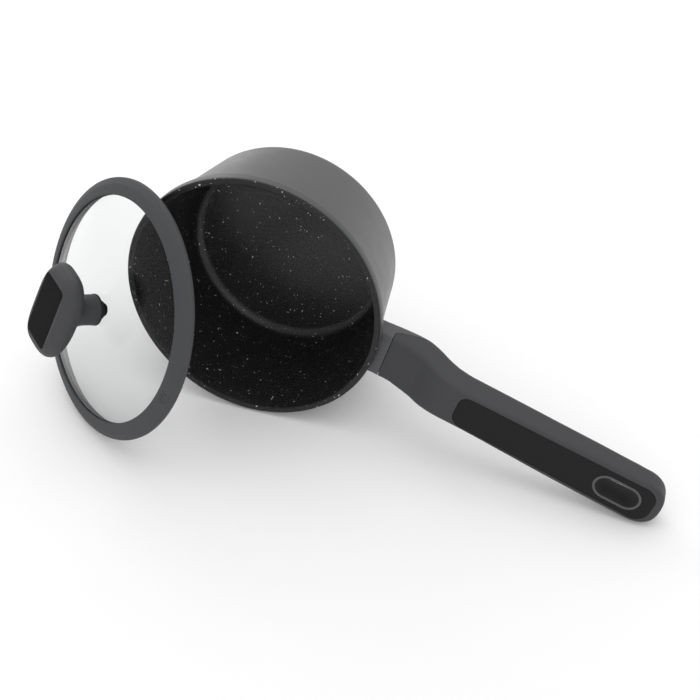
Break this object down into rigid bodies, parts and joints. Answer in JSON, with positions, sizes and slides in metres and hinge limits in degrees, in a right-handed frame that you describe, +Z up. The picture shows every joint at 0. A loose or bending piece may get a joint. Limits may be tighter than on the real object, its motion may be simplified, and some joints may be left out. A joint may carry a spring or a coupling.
{
  "type": "saucepan with glass lid",
  "caption": "Small saucepan with a long stick handle and a silicone-rimmed glass lid with a knob; the pan lies on its side and the lid leans on its rim.",
  "frame": {"origin": "middle of the footprint of the whole group, on the floor", "axes": "+X to the tip of the pan's handle, +Y from the pan's mouth towards its base, +Z up as the group lies on a table"},
  "size_m": [0.4772, 0.1912, 0.1886],
  "materials": {
    "exterior_paint": "satin heat-resistant paint",
    "nonstick": "matte granite-look non-stick with pale speckles",
    "handle_plastic": "satin soft-touch",
    "soft_inlay": "matte soft-touch",
    "silicone": "matte silicone",
    "dark_silicone": "matte silicone",
    "clear_glass": "clear tempered glass",
    "stainless": "brushed",
    "brass": "machined"
  },
  "bodies": {
    "pan": {"pan_body": "exterior_paint", "base_plate": "stainless", "weld_studs": "stainless", "handle_bracket": "handle_plastic", "stud_washers": "stainless", "stud_nuts": "stainless", "handle_body": "handle_plastic", "grip_inlay": "soft_inlay", "hang_ring": "handle_plastic", "handle_insert": "brass", "handle_screw": "stainless"},
    "lid": {"lid_glass": "clear_glass", "lid_rim": "silicone", "knob_body": "handle_plastic", "knob_inlay": "soft_inlay", "knob_insert": "brass", "knob_gasket": "dark_silicone", "glass_bush": "dark_silicone", "knob_washer": "stainless", "knob_screw": "stainless"}
  },
  "joints": [
    {"name": "lid_lift", "type": "slide", "parent": "pan", "child": "lid", "axis": [-0.5398, -0.7174, 0.4404], "range_m": [0, 0.12]}
  ]
}
